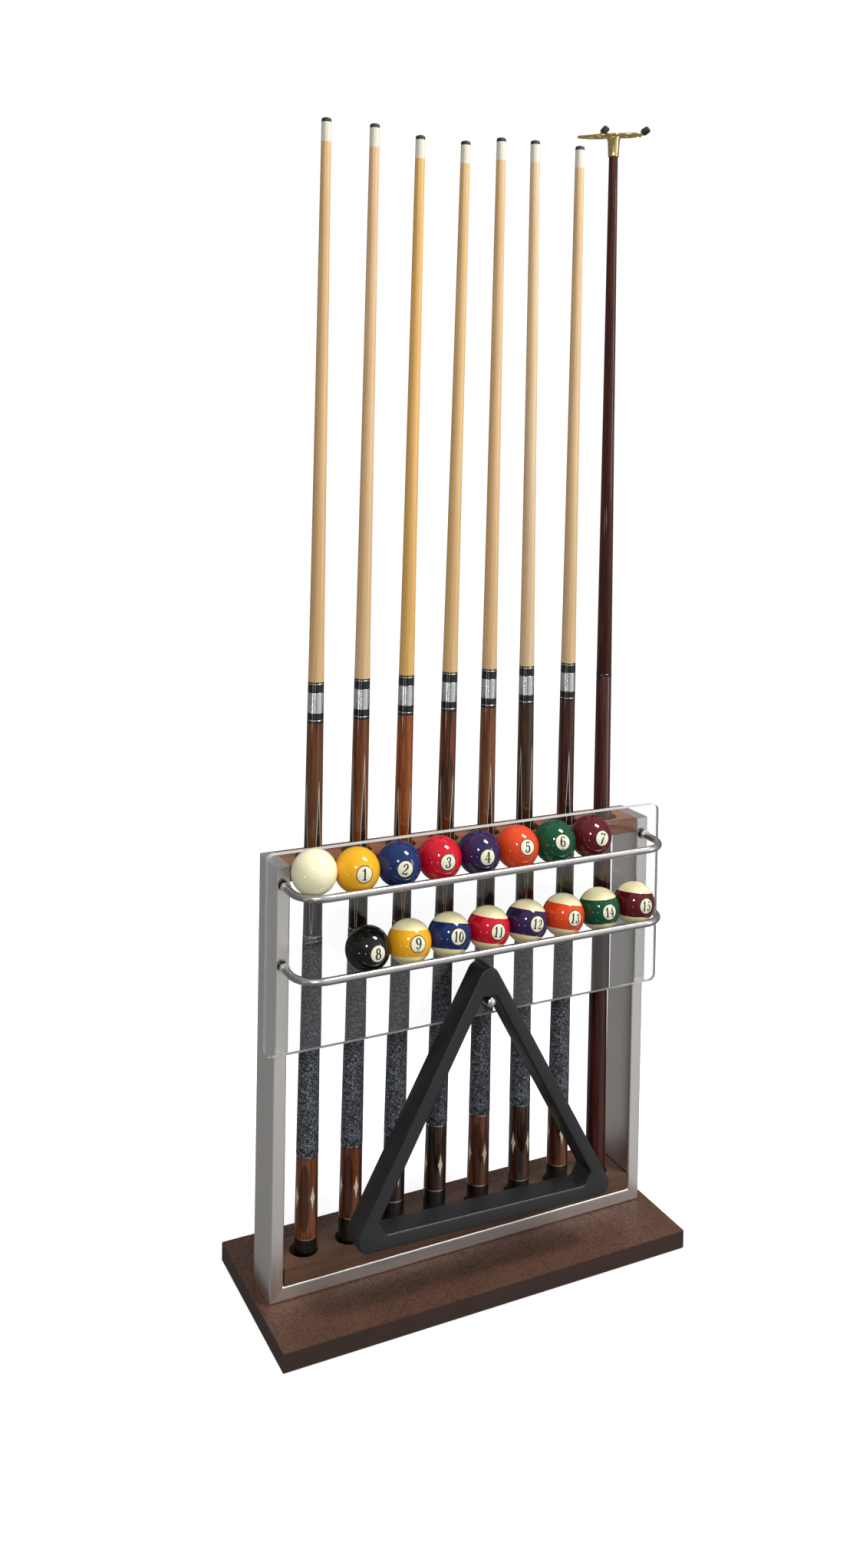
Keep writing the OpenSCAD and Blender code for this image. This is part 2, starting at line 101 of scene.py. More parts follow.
CAMERA_AT = Vector((-0.8506, -1.59268, 1.13734))
CAMERA_FORWARD = Vector((0.44228, 0.89656, -0.02374)).normalized()
CAMERA_RIGHT = Vector((0.89686, -0.44197, 0.01728))
CAMERA_UP = CAMERA_RIGHT.cross(CAMERA_FORWARD).normalized()
CAMERA_RIGHT = CAMERA_FORWARD.cross(CAMERA_UP).normalized()
SENSOR_WIDTH, FOCAL_LENGTH, SHIFT_Y = 36, 30.813, -0.2115


def basis(x, y, z, origin):
    """Matrix with these axes as columns."""
    m = Matrix((x, y, z)).transposed().to_4x4()
    m.translation = origin
    return m


def make_camera():
    data = bpy.data.cameras.new("camera")
    camera = bpy.data.objects.new("camera", data)
    bpy.context.scene.collection.objects.link(camera)
    camera.matrix_world = basis(CAMERA_RIGHT, CAMERA_UP, -CAMERA_FORWARD, CAMERA_AT)
    data.sensor_width = SENSOR_WIDTH
    data.lens = FOCAL_LENGTH
    data.shift_y = SHIFT_Y
    data.clip_start, data.clip_end = 0.05, 60
    bpy.context.scene.camera = camera


# ---------------------------------------------------------------- node helpers


def plug(tree, socket, value):
    """Feeds a socket from another node's output, or sets its value."""
    if isinstance(value, bpy.types.NodeSocket):
        tree.links.new(value, socket)
    elif isinstance(value, tuple) and len(value) == 3 and socket.type == "RGBA":
        socket.default_value = (*value, 1.0)
    else:
        socket.default_value = value


def node(tree, kind, settings=None, **inputs):
    """New shader node, with its settings and with its inputs named as keywords."""
    made = tree.nodes.new("ShaderNode" + kind)
    for key, value in (settings or {}).items():
        setattr(made, key, value)
    for key, value in inputs.items():
        plug(tree, made.inputs[key.replace("_", " ")], value)
    return made


def calc(tree, operation, a, b=0.0, c=0.0):
    made = tree.nodes.new("ShaderNodeMath")
    made.operation = operation
    for socket, value in zip(made.inputs, (a, b, c)):
        plug(tree, socket, value)
    return made.outputs[0]


def mix(tree, share, a, b):
    """Colour a where share is 0, colour b where it is 1."""
    made = tree.nodes.new("ShaderNodeMix")
    made.data_type = "RGBA"
    plug(tree, made.inputs[0], share)
    plug(tree, made.inputs[6], a)
    plug(tree, made.inputs[7], b)
    return made.outputs[2]


def ramp(tree, value, low, high, to_low=0.0, to_high=1.0):
    """Value from low to high, spread over to_low to to_high and held there beyond."""
    made = node(tree, "MapRange", {"interpolation_type": "SMOOTHSTEP"}, Value=value)
    for key, number in (("From Min", low), ("From Max", high), ("To Min", to_low), ("To Max", to_high)):
        plug(tree, made.inputs[key], number)
    return made.outputs[0]


def object_point(tree, scale=(1, 1, 1)):
    """The point in the piece's own frame, stretched by scale."""
    where = node(tree, "TexCoord").outputs["Object"]
    if scale == (1, 1, 1):
        return where
    return node(tree, "Mapping", Vector=where, Scale=scale).outputs[0]


def noise(tree, where, scale, detail=3.0, roughness=0.5, distortion=0.0):
    made = node(tree, "TexNoise", Vector=where, Scale=scale, Detail=detail, Roughness=roughness,
                Distortion=distortion)
    return made.outputs["Fac"]


def bump(tree, shader, height, distance, strength=1.0):
    made = node(tree, "Bump", Height=height, Distance=distance, Strength=strength)
    tree.links.new(made.outputs[0], shader.inputs["Normal"])


def material(name, roughness=0.5, metallic=0.0, coat=0.0, coat_roughness=0.05, ior=1.5):
    made = bpy.data.materials.new(name)
    made.use_nodes = True
    shader = made.node_tree.nodes["Principled BSDF"]
    shader.inputs["Roughness"].default_value = roughness
    shader.inputs["Metallic"].default_value = metallic
    shader.inputs["Coat Weight"].default_value = coat
    shader.inputs["Coat Roughness"].default_value = coat_roughness
    shader.inputs["IOR"].default_value = ior
    return made, made.node_tree, shader


# ---------------------------------------------------------------- materials


def brushed_steel(name, colour, roughness, along, scratch=0.06):
    """Satin metal with fine brush lines along one axis."""
    made, tree, shader = material(name, metallic=1.0)
    stretch = tuple(1.5 if k == along else 900.0 for k in "xyz")
    lines = noise(tree, object_point(tree, stretch), 1.0, 4.0, 0.7)
    cloud = noise(tree, object_point(tree), 9.0, 3.0)
    tone = mix(tree, lines, tuple(c * 0.9 for c in colour), tuple(min(c * 1.08, 1.0) for c in colour))
    tone = mix(tree, ramp(tree, cloud, 0.35, 0.7, 0.0, 0.25), tone, tuple(c * 0.86 for c in colour))
    plug(tree, shader.inputs["Base Color"], tone)
    plug(tree, shader.inputs["Roughness"], ramp(tree, lines, 0.2, 0.8, roughness - 0.05, roughness + 0.07))
    bump(tree, shader, lines, scratch * MM, 0.35)
    return made


def smooth_metal(name, colour, roughness):
    made, tree, shader = material(name, metallic=1.0)
    smear = noise(tree, object_point(tree), 60.0, 3.0)
    plug(tree, shader.inputs["Base Color"], mix(tree, smear, tuple(c * 0.93 for c in colour), colour))
    plug(tree, shader.inputs["Roughness"], ramp(tree, smear, 0.3, 0.7, roughness * 0.7, roughness * 1.4))
    return made


def plain_solid(name, colour, roughness, coat=0.0, grain=300.0, depth=0.02, vary=0.2):
    """Rubber, plastic and the like: an even colour with a fine surface texture."""
    made, tree, shader = material(name, roughness, coat=coat)
    where = object_point(tree)
    fine = noise(tree, where, grain, 4.0, 0.6)
    wide = noise(tree, where, 14.0, 3.0)
    plug(tree, shader.inputs["Base Color"],
         mix(tree, ramp(tree, wide, 0.3, 0.7, 0.0, 1.0), tuple(c * (1 - vary) for c in colour), colour))
    matt = ramp(tree, fine, 0.3, 0.7, roughness * 0.88, min(roughness * 1.12, 1))
    plug(tree, shader.inputs["Roughness"], matt)
    bump(tree, shader, fine, depth * MM, 0.6)
    return made


def leatherette(name, colour, dark, pebble):
    """Pebbled sheet: rounded grains a couple of millimetres across, with painted shade darkening the creases
    between them.
    """
    made, tree, shader = material(name, 0.5)
    where = object_point(tree)
    bend = noise(tree, where, 120.0, 2.0)
    shifted = node(tree, "VectorMath", {"operation": "MULTIPLY_ADD"})
    tree.links.new(where, shifted.inputs[2])
    plug(tree, shifted.inputs[0], bend)
    shifted.inputs[1].default_value = (0.0035, 0.0035, 0.0035)
    cells = node(tree, "TexVoronoi", {"feature": "SMOOTH_F1"}, Vector=shifted.outputs[0], Scale=pebble)
    grains = cells.outputs["Distance"]
    fine = noise(tree, where, 1500.0, 2.0)
    patches = noise(tree, where, 22.0, 3.0)
    # painted shade: the creases between the grains are mixed toward the dark colour
    tone = mix(tree, ramp(tree, grains, 0.15, 0.75), colour, dark)
    tone = mix(tree, ramp(tree, patches, 0.3, 0.75, 0.0, 0.35), tone, tuple(c * 1.35 for c in colour))
    plug(tree, shader.inputs["Base Color"], tone)
    plug(tree, shader.inputs["Roughness"], ramp(tree, grains, 0.1, 0.7, 0.42, 0.62))
    height = calc(tree, "MULTIPLY_ADD", fine, 0.12, calc(tree, "SUBTRACT", 1.0, grains))
    bump(tree, shader, height, 0.35 * MM, 0.9)
    return made


def board_wood(name, colour, dark, roughness, coat, along, fineness=1.0):
    """Stained wood with its grain along one axis."""
    made, tree, shader = material(name, roughness, coat=coat, coat_roughness=0.18)
    stretch = tuple((6.0 if k == along else 160.0) * fineness for k in "xyz")
    streaks = noise(tree, object_point(tree, stretch), 1.0, 5.0, 0.65, 0.6)
    pores = noise(tree, object_point(tree, tuple(s * 6 for s in stretch)), 1.0, 2.0, 0.7)
    tone = mix(tree, ramp(tree, streaks, 0.3, 0.72), dark, colour)
    tone = mix(tree, ramp(tree, pores, 0.62, 0.75, 0.0, 0.5), tone, dark)
    plug(tree, shader.inputs["Base Color"], tone)
    bump(tree, shader, pores, 0.05 * MM, 0.4)
    return made


def shaft_maple(name, colour):
    """Pale maple, polished, with faint long grain and a few mineral streaks."""
    made, tree, shader = material(name, 0.34, coat=0.25, coat_roughness=0.2)
    grain = noise(tree, object_point(tree, (420, 420, 5)), 1.0, 4.0, 0.6, 0.4)
    slow = noise(tree, object_point(tree, (60, 60, 3.2)), 1.0, 3.0)
    flecks = noise(tree, object_point(tree, (900, 900, 90)), 1.0, 2.0, 0.6)
    dark = tuple(c * k for c, k in zip(colour, (0.86, 0.80, 0.70)))
    pale = tuple(c * k for c, k in zip(colour, (1.08, 1.06, 1.1)))
    tone = mix(tree, ramp(tree, grain, 0.34, 0.7), dark, colour)
    tone = mix(tree, ramp(tree, slow, 0.35, 0.7, 0.0, 0.5), tone, pale)
    tone = mix(tree, ramp(tree, flecks, 0.66, 0.76, 0.0, 0.35), tone, tuple(c * 0.72 for c in dark))
    plug(tree, shader.inputs["Base Color"], tone)
    return made


def turned(tree):
    """Angle round the piece's own Z axis, in quarter turns, and the height along it in millimetres."""
    where = node(tree, "SeparateXYZ", Vector=object_point(tree))
    angle = calc(tree, "ARCTAN2", where.outputs[1], where.outputs[0])
    quarter = calc(tree, "DIVIDE", angle, math.pi / 2)
    return quarter, calc(tree, "MULTIPLY", where.outputs[2], 1000.0)


def from_axis(tree, quarter, phase):
    """Distance from the nearest of four axes round the piece, in quarter turns."""
    turn = calc(tree, "FRACT", calc(tree, "SUBTRACT", quarter, phase - 8.0))
    return calc(tree, "SUBTRACT", 0.5, calc(tree, "ABSOLUTE", calc(tree, "SUBTRACT", turn, 0.5)))


def figured(tree, colour, dark, stripes):
    """Turned hardwood: long dark figure, with straighter stripes where stripes is near 1."""
    where = object_point(tree, (150, 150, 9 - 6 * stripes))
    figure = noise(tree, where, 1.0 + stripes * 1.6, 4.0, 0.6, 1.2 - stripes)
    pores = noise(tree, object_point(tree, (1500, 1500, 60)), 1.0, 2.0, 0.6)
    tone = mix(tree, ramp(tree, figure, 0.42 - 0.1 * stripes, 0.62), dark, colour)
    return mix(tree, ramp(tree, pores, 0.55, 0.72, 0.0, 0.55), tone, tuple(c * 0.45 for c in dark))


def forearm_wood(name, colour, dark, stripes, phase, apex):
    """Forearm with four long black points, each edged by a cream and a dark veneer."""
    made, tree, shader = material(name, 0.3, coat=1.0, coat_roughness=0.06)
    shader.inputs["Specular IOR Level"].default_value = 0.1
    quarter, height = turned(tree)
    away = from_axis(tree, quarter, phase)
    share = calc(tree, "DIVIDE", calc(tree, "SUBTRACT", apex, height), apex - WRAP_TO)
    edge = calc(tree, "MULTIPLY", share, POINT_HALF_WIDTH)
    inside = calc(tree, "SUBTRACT", edge, away)
    tone = figured(tree, colour, dark, stripes)
    tone = mix(tree, ramp(tree, inside, -0.030, -0.026), tone, (0.012, 0.009, 0.007))
    tone = mix(tree, ramp(tree, inside, -0.016, -0.010), tone, (0.60, 0.55, 0.42))
    tone = mix(tree, ramp(tree, inside, 0.020, 0.026), tone, (0.010, 0.008, 0.007))
    plug(tree, shader.inputs["Base Color"], tone)
    return made


def sleeve_wood(name, colour, dark, stripes, phase):
    """Butt sleeve with four cream inlays shaped like slender stars, and darker lobes between them."""
    made, tree, shader = material(name, 0.3, coat=1.0, coat_roughness=0.06)
    shader.inputs["Specular IOR Level"].default_value = 0.1
    quarter, height = turned(tree)
    away = from_axis(tree, quarter, phase)
    rise = calc(tree, "ABSOLUTE", calc(tree, "SUBTRACT", height, STAR_AT))
    across = calc(tree, "POWER", calc(tree, "DIVIDE", away, STAR_HALF_WIDTH), STAR_CURVE)
    upright = calc(tree, "POWER", calc(tree, "DIVIDE", rise, STAR_HALF_HEIGHT), STAR_CURVE)
    star = calc(tree, "ADD", across, upright)
    between = calc(tree, "SUBTRACT", 0.5, away)
    lobe = calc(tree, "ADD", calc(tree, "POWER", calc(tree, "DIVIDE", between, 0.3), 2.0),
                calc(tree, "POWER", calc(tree, "DIVIDE", calc(tree, "SUBTRACT", rise, 14.0), 30.0), 2.0))
    tone = figured(tree, colour, dark, stripes)
    tone = mix(tree, ramp(tree, lobe, 0.85, 1.05, 0.75, 0.0), tone, tuple(c * 0.5 for c in dark))
    tone = mix(tree, ramp(tree, star, 1.07, 1.13, 1.0, 0.0), tone, (0.02, 0.015, 0.01))
    tone = mix(tree, ramp(tree, star, 0.97, 1.03, 1.0, 0.0), tone, (0.66, 0.61, 0.47))
    plug(tree, shader.inputs["Base Color"], tone)
    return made


def linen(name):
    """Black thread wound round and round, with pale squiggles where its light strand shows, and painted shade
    in the grooves between the turns.
    """
    made, tree, shader = material(name, 0.62)
    quarter, height = turned(tree)
    turn = calc(tree, "DIVIDE", height, 0.8)
    thread = calc(tree, "FRACT", calc(tree, "ADD", turn, calc(tree, "MULTIPLY", quarter, 0.25)))
    hump = calc(tree, "SINE", calc(tree, "MULTIPLY", thread, math.pi))
    where = object_point(tree)
    curls = noise(tree, where, 330.0, 2.0, 0.55, 0.8)
    line = ramp(tree, calc(tree, "ABSOLUTE", calc(tree, "SUBTRACT", curls, 0.5)), 0.012, 0.045, 1.0, 0.0)
    patches = ramp(tree, noise(tree, where, 420.0, 1.0), 0.36, 0.50)
    soft = noise(tree, object_point(tree, (500, 500, 900)), 1.0, 3.0, 0.7)
    tone = mix(tree, ramp(tree, soft, 0.3, 0.7), (0.004, 0.004, 0.005), (0.015, 0.016, 0.019))
    tone = mix(tree, calc(tree, "MULTIPLY", line, patches), tone, (0.36, 0.40, 0.47))
    # painted shade: darker in the grooves between the turns of the thread
    tone = mix(tree, ramp(tree, hump, 0.0, 0.45, 0.4, 0.0), tone, (0.006, 0.006, 0.007))
    plug(tree, shader.inputs["Base Color"], tone)
    shader.inputs["Coat Weight"].default_value = 0.15
    shader.inputs["Coat Roughness"].default_value = 0.4
    bump(tree, shader, calc(tree, "ADD", hump, calc(tree, "MULTIPLY", soft, 0.6)), 0.18 * MM, 0.8)
    return made


def acrylic(name):
    """Clear sheet with pale, matt sawn edges."""
    made, tree, shader = material(name, 0.0, ior=1.49)
    side = node(tree, "SeparateXYZ", Vector=node(tree, "NewGeometry").outputs["Normal"]).outputs[1]
    sawn = ramp(tree, calc(tree, "ABSOLUTE", side), 0.3, 0.7, 1.0, 0.0)
    haze = noise(tree, object_point(tree), 3.0, 2.0)
    clear = mix(tree, haze, (0.975, 0.985, 0.985), (0.99, 0.995, 0.995))
    plug(tree, shader.inputs["Base Color"], mix(tree, sawn, clear, (0.95, 0.97, 0.97)))
    plug(tree, shader.inputs["Roughness"], calc(tree, "MULTIPLY", sawn, 0.4))
    through = calc(tree, "SUBTRACT", 1.0, calc(tree, "MULTIPLY", sawn, 0.6))
    plug(tree, shader.inputs["Transmission Weight"], through)
    return made


def ball_finish(name, colour, stripe):
    """Polished resin. The piece's Z axis points at the number, and its Y axis is the digits' up."""
    cream = (0.90, 0.81, 0.47)
    made, tree, shader = material(name, 0.12, coat=1.0, coat_roughness=0.015)
    shader.inputs["Specular IOR Level"].default_value = 0.0
    where = node(tree, "SeparateXYZ", Vector=object_point(tree, (1 / (BALL_R * MM),) * 3))
    x, y, z = where.outputs
    cloud = noise(tree, object_point(tree), 25.0, 3.0)
    tone = mix(tree, cloud, tuple(c * 0.93 for c in colour), tuple(min(1.0, c * 1.05) for c in colour))
    if stripe:
        band = ramp(tree, calc(tree, "ABSOLUTE", y), STRIPE_HALF - EDGE_BLUR, STRIPE_HALF + EDGE_BLUR)
        tone = mix(tree, band, tone, cream)
    if name != "cue_ball_resin":
        squares = calc(tree, "ADD", calc(tree, "MULTIPLY", x, x), calc(tree, "MULTIPLY", y, y))
        flat = calc(tree, "SQRT", squares)
        for reach, shade in ((RING_R, (0.02, 0.018, 0.015)), (DISC_R, (0.80, 0.77, 0.58))):
            disc = ramp(tree, flat, reach - EDGE_BLUR, reach + EDGE_BLUR, 1.0, 0.0)
            tone = mix(tree, disc, tone, shade)
        ink = node(tree, "Attribute", {"attribute_name": "ink"}).outputs["Fac"]
        tone = mix(tree, ramp(tree, ink, -0.006, 0.006, 1.0, 0.0), tone, (0.015, 0.014, 0.012))
    plug(tree, shader.inputs["Base Color"], tone)
    return made


# ---------------------------------------------------------------- mesh helpers


def finish_mesh(name, bm, finish, body, place=None, sharp=32.0):
    """Turns a bmesh into a piece that rides on a body, with its edges over `sharp` degrees kept sharp."""
    bmesh.ops.recalc_face_normals(bm, faces=bm.faces)
    limit = math.radians(sharp)
    for face in bm.faces:
        face.smooth = True
    for edge in bm.edges:
        edge.smooth = len(edge.link_faces) == 2 and edge.calc_face_angle() < limit
    mesh = bpy.data.meshes.new(name)
    bm.to_mesh(mesh)
    bm.free()
    piece = bpy.data.objects.new(name, mesh)
    bpy.context.scene.collection.objects.link(piece)
    mesh.materials.append(finish)
    if place is not None:
        piece.matrix_world = place
    if body:
        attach(piece, body)
    return piece


def grid_faces(bm, rings, closed_rings=False):
    """Joins rings of equal length into a tube, and caps its ends unless the rings close on each other."""
    verts = [[bm.verts.new(p) for p in ring] for ring in rings]
    count = len(verts[0])
    pairs = list(zip(verts, verts[1:]))
    if closed_rings:
        pairs.append((verts[-1], verts[0]))
    for a, b in pairs:
        for k in range(count):
            n = (k + 1) % count
            bm.faces.new((a[k], a[n], b[n], b[k]))
    if not closed_rings:
        bm.faces.new(verts[0])
        bm.faces.new(verts[-1])


def circle(radius, z, count):
    return [(radius * math.cos(math.tau * k / count), radius * math.sin(math.tau * k / count), z)
            for k in range(count)]


def lathe(name, profile, finish, body, place, count=56, sharp=32.0):
    """Closed solid of revolution from (radius, height) points in millimetres, one end to the other."""
    bm = bmesh.new()
    grid_faces(bm, [circle(max(r, 0.02) * MM, z * MM, count) for r, z in profile])
    return finish_mesh(name, bm, finish, body, place, sharp)


def sweep(name, path, radii, finish, body, count=16, place=None):
    """Round tube along a path of points in millimetres, with a radius at each point."""
    points = [Vector(p) * MM for p in path]
    bm = bmesh.new()
    rings, side = [], None
    for k, p in enumerate(points):
        ahead = (points[min(k + 1, len(points) - 1)] - points[max(k - 1, 0)]).normalized()
        if side is None:
            side = ahead.orthogonal().normalized()
        side = (side - ahead * side.dot(ahead)).normalized()
        up = ahead.cross(side)
        r = radii[k] * MM
        rings.append([p + side * x + up * y for x, y, _ in circle(r, 0, count)])
    grid_faces(bm, rings)
    return finish_mesh(name, bm, finish, body, place, 50)


# ---------------------------------------------------------------- cues


def hole_x(i):
    return FIRST_HOLE + HOLE_PITCH * i


def cue_place(i):
    """Where a cue stands: its foot in its tray hole, leaning to its hole in the upper rail."""
    lean = math.atan2(RAIL_SHIFT[i] - FOOT_SHIFT[i], RAIL_MIDDLE - CUE_Z)
    foot = Vector((hole_x(i) + FOOT_SHIFT[i], 0, CUE_Z)) * MM
    return Matrix.Translation(foot) @ Matrix.Rotation(lean, 4, "Y")


def cue_radius(t, length):
    """Radius of a cue at t millimetres from its foot: a straight butt and a slightly hollow shaft."""
    if t < JOINT_AT:
        return BUTT_R + (JOINT_R - BUTT_R) * t / JOINT_AT
    return JOINT_R + (TIP_R - JOINT_R) * ((t - JOINT_AT) / (length - JOINT_AT)) ** 0.75


def facing(x):
    """Angle round Z, in degrees, at which a piece at this x faces the camera."""
    return math.degrees(math.atan2(CAMERA_AT.y, CAMERA_AT.x - x * MM))


SHAFTS = [(0.64, 0.42, 0.20), (0.66, 0.45, 0.24), (0.70, 0.42, 0.13), (0.66, 0.44, 0.20),
          (0.66, 0.44, 0.22), (0.68, 0.50, 0.30), (0.66, 0.46, 0.25)]
# colour, dark figure, share of straight stripes, angles of points and inlays, top of the points
BUTTS = [
    ((0.158, 0.051, 0.012), (0.032, 0.011, 0.003), 1.0, 35, 33, 624),
    ((0.200, 0.053, 0.010), (0.089, 0.021, 0.004), 0.5, 31, 30, 654),
    ((0.315, 0.079, 0.010), (0.158, 0.035, 0.005), 0.4, 52, 27, 604),
    ((0.158, 0.037, 0.010), (0.023, 0.007, 0.003), 0.2, 46, 28, 613),
    ((0.200, 0.069, 0.020), (0.095, 0.029, 0.009), 0.7, 26, 36, 624),
    ((0.079, 0.032, 0.011), (0.027, 0.011, 0.004), 0.3, 55, 56, 641),
    ((0.074, 0.018, 0.006), (0.023, 0.006, 0.003), 0.3, 21, 25, 628),
]
# colour and dark figure of each butt sleeve
SLEEVES = [
    ((0.221, 0.070, 0.022), (0.074, 0.023, 0.007)), ((0.200, 0.053, 0.016), (0.074, 0.018, 0.006)),
    ((0.047, 0.016, 0.006), (0.013, 0.005, 0.002)), ((0.063, 0.026, 0.014), (0.019, 0.008, 0.004)),
    ((0.179, 0.053, 0.021), (0.063, 0.018, 0.007)), ((0.116, 0.044, 0.017), (0.021, 0.009, 0.004)),
    ((0.200, 0.053, 0.016), (0.058, 0.014, 0.005)),
]


def make_cue(i, shared):
    tag = f"cue_{i + 1}"
    place = cue_place(i)
    length = CUE_LENGTH[i]
    colour, dark, stripes, turn, inlay_turn, apex = BUTTS[i]
    face = facing(hole_x(i))

    def radius(t):
        return cue_radius(t, length)

    def part(name, profile, finish, stands_for=None):
        piece = lathe(f"{tag}_{name}", profile, finish, tag, place)
        if stands_for:
            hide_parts(f"{tag}_{stands_for}")
        return piece

    def taper(low, high, steps, grow=0.0):
        return [(radius(low + (high - low) * k / steps) + grow, low + (high - low) * k / steps)
                for k in range(steps + 1)]

    ferrule = length - FERRULE_LONG
    tip = length - TIP_LONG
    part("tip", [(radius(tip) - 0.1, tip), (radius(tip), tip + 0.3), (TIP_R, length - 2.6),
                 (TIP_R * 0.93, length - 1.7), (TIP_R * 0.72, length - 0.8), (TIP_R * 0.4, length - 0.25),
                 (0, length)], shared["tip"])
    part("ferrule", taper(ferrule, tip, 3), shared["ferrule"])
    maple = shaft_maple(f"maple_{i + 1}", SHAFTS[i])
    part("shaft_wood", taper(JOINT_AT + 0.6, ferrule, 30), maple, "shaft")
    for name, low, high, finish in JOINT_STACK:
        part(name, [(radius(low) - RING_PROUD, low), (radius(low) + RING_PROUD, low + 0.12),
                    (radius(high) + RING_PROUD, high - 0.12), (radius(high) - RING_PROUD, high)],
             shared[finish])
    wood = forearm_wood(f"forearm_{i + 1}", colour, dark, stripes, (face + turn) / 90, apex)
    part("forearm", taper(WRAP_TO + 5, FOREARM_TOP, 12), wood, "butt")
    rings = [("wrap_collar", WRAP_TO + 2, WRAP_TO + 5, "black"),
             ("wrap_ring", WRAP_TO, WRAP_TO + 2, "silver")]
    for name, low, high, finish in rings:
        part(name, taper(low, high, 1, RING_PROUD), shared[finish])
    thread = taper(WRAP_FROM + 3.6, WRAP_TO - 0.6, 8, THREAD_PROUD)
    part("linen", [(radius(WRAP_FROM + 3) - THREAD_END, WRAP_FROM + 3), *thread,
                   (radius(WRAP_TO) - THREAD_END, WRAP_TO)], shared["linen"], "wrap")
    rings = [("butt_ring", WRAP_FROM + 2, WRAP_FROM + 3, "silver"),
             ("butt_collar", WRAP_FROM + 1.2, WRAP_FROM + 2, "black")]
    for name, low, high, finish in rings:
        part(name, taper(low, high, 1, RING_PROUD), shared[finish])
    cap = CAP_TOP[i]
    sleeve = sleeve_wood(f"sleeve_{i + 1}", *SLEEVES[i], stripes, (face + inlay_turn) / 90)
    part("sleeve", taper(cap + 1.2, WRAP_FROM + 1.2, 6), sleeve)
    part("cap_ring", taper(cap, cap + 1.2, 1, RING_PROUD), shared["silver"])
    part("cap", [(BUTT_R - 0.5, BUMPER_TOP), (BUTT_R, 8.6), *taper(9.5, cap, 2)], shared["black"])
    part("bumper", [(BUTT_R - 3.4, 0), (BUTT_R - 2.2, 0.5), (BUTT_R - 1.4, 2), (BUTT_R - 0.9, 5),
                    (BUTT_R - 0.9, BUMPER_TOP)], shared["rubber"])


# ---------------------------------------------------------------- bridge


def make_bridge(shared):
    place = cue_place(7)
    wood, tree, shader = material("bridge_lacquer", 0.3, coat=0.7, coat_roughness=0.06)
    shader.inputs["Specular IOR Level"].default_value = 0.1
    plug(tree, shader.inputs["Base Color"], figured(tree, (0.072, 0.012, 0.006), (0.024, 0.005, 0.003), 0.6))
    stick = lathe("bridge_butt", [(11.6, 0), (13.4, 1.0), (14, 3), (14, 40), (10.7, 731),
                                  (10.4, BRIDGE_BUTT_TOP)], wood, "bridge", place)
    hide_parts("bridge_stick")
    lathe("bridge_band", [(10.5, BRIDGE_BUTT_TOP), (10.9, 732), (10.9, 735), (10.5, BRIDGE_BAND_TOP)],
          shared["black"], "bridge", place)
    lathe("bridge_shaft", [(10.4, BRIDGE_BAND_TOP), (10.65, 736), (8.4, 1080), (6.2, 1484)], wood, "bridge",
          place)
    brass = smooth_metal("brass_polish", (0.86, 0.64, 0.28), 0.16)
    socket = [(7.0, 1466), (7.6, 1466.4), (7.8, 1468), (7.5, 1469), (7.7, 1472), (8.5, 1488), (9.6, 1492),
              (10.5, 1495)]
    head = lathe("bridge_socket", socket, brass, "bridge", place)
    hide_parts("bridge_head")
    head_place = place @ Matrix.Rotation(math.radians(BRIDGE_TURN), 4, "Z")
    z = HEAD_Z
    # half of each loop, from the hub outwards; the other half mirrors it
    left = [(-10, 9, z), (-20, 9.5, z), (-33, 6.5, z), (-44, 3, z + 0.4), (-50, 0, z + 0.8)]
    right = [(6, 9, z), (18, 9.5, z - 0.6), (28, 8, z - 0.4), (36, 4, z + 0.6), (38, 0, z + 1.2)]
    inner = [(-12, 0, z), (-22, 4.5, z - 0.5), (-28, 0, z - 0.8)]
    ribs = [(10, 0, z - 1.2), (18, 4.5, z - 1.4), (27, 0, z - 1.0)]
    wires = [("left_loop", left, LOOP_R, 14), ("left_scroll", inner, SCROLL_R, 12),
             ("right_loop", right, LOOP_R, 14), ("right_scroll", ribs, SCROLL_R, 12)]
    for name, half, wire_r, sides in wires:
        path = dense([*half, *[(x, -y, height) for x, y, height in half[-2::-1]]])
        sweep(f"bridge_{name}", path, [wire_r] * len(path), brass, "bridge", sides, head_place)
    lathe("bridge_hub", [(10.4, 1493.4), (12.8, 1494.4), (13.4, HEAD_Z), (12.6, 1497.6), (6, 1498.2),
                         (0, 1498.3)], brass, "bridge", place)
    for name, x, y, tilt in (("left", -18, -7, 40), ("right", 36, 0, 58)):
        seat = head_place @ Matrix.Translation(Vector((x, y, HEAD_Z - 1)) * MM)
        seat = seat @ Matrix.Rotation(math.radians(tilt), 4, "Y")
        lathe(f"bridge_{name}_leg", [(3.4, -1.5), (3.2, 1), (2.8, 3.5), (3.9, 4.6), (3.9, 5.6), (2.6, 6)],
              brass, "bridge", seat, 32)
        pad = lathe(f"bridge_{name}_pad", [(3.6, 5), (4.8, 5.6), (5.1, 7), (5.0, 13), (4.4, 15),
                                           (3.0, 16.2), (0, 16.6)], shared["rubber"], "bridge", seat, 40)
        if name == "left":
            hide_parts("bridge_feet")


def dense(path, steps=5):
    """Catmull-Rom points through a path."""
    points = [Vector(p) for p in path]
    ends = [points[0] * 2 - points[1], *points, points[-1] * 2 - points[-2]]
    made = []
    for a, b, c, d in zip(ends, ends[1:], ends[2:], ends[3:]):
        for k in range(steps):
            t = k / steps
            made.append(0.5 * ((2 * b) + (c - a) * t + (2 * a - 5 * b + 4 * c - d) * t * t
                               + (3 * b - a - 3 * c + d) * t ** 3))
    return [*made, points[-1]]


# ---------------------------------------------------------------- balls

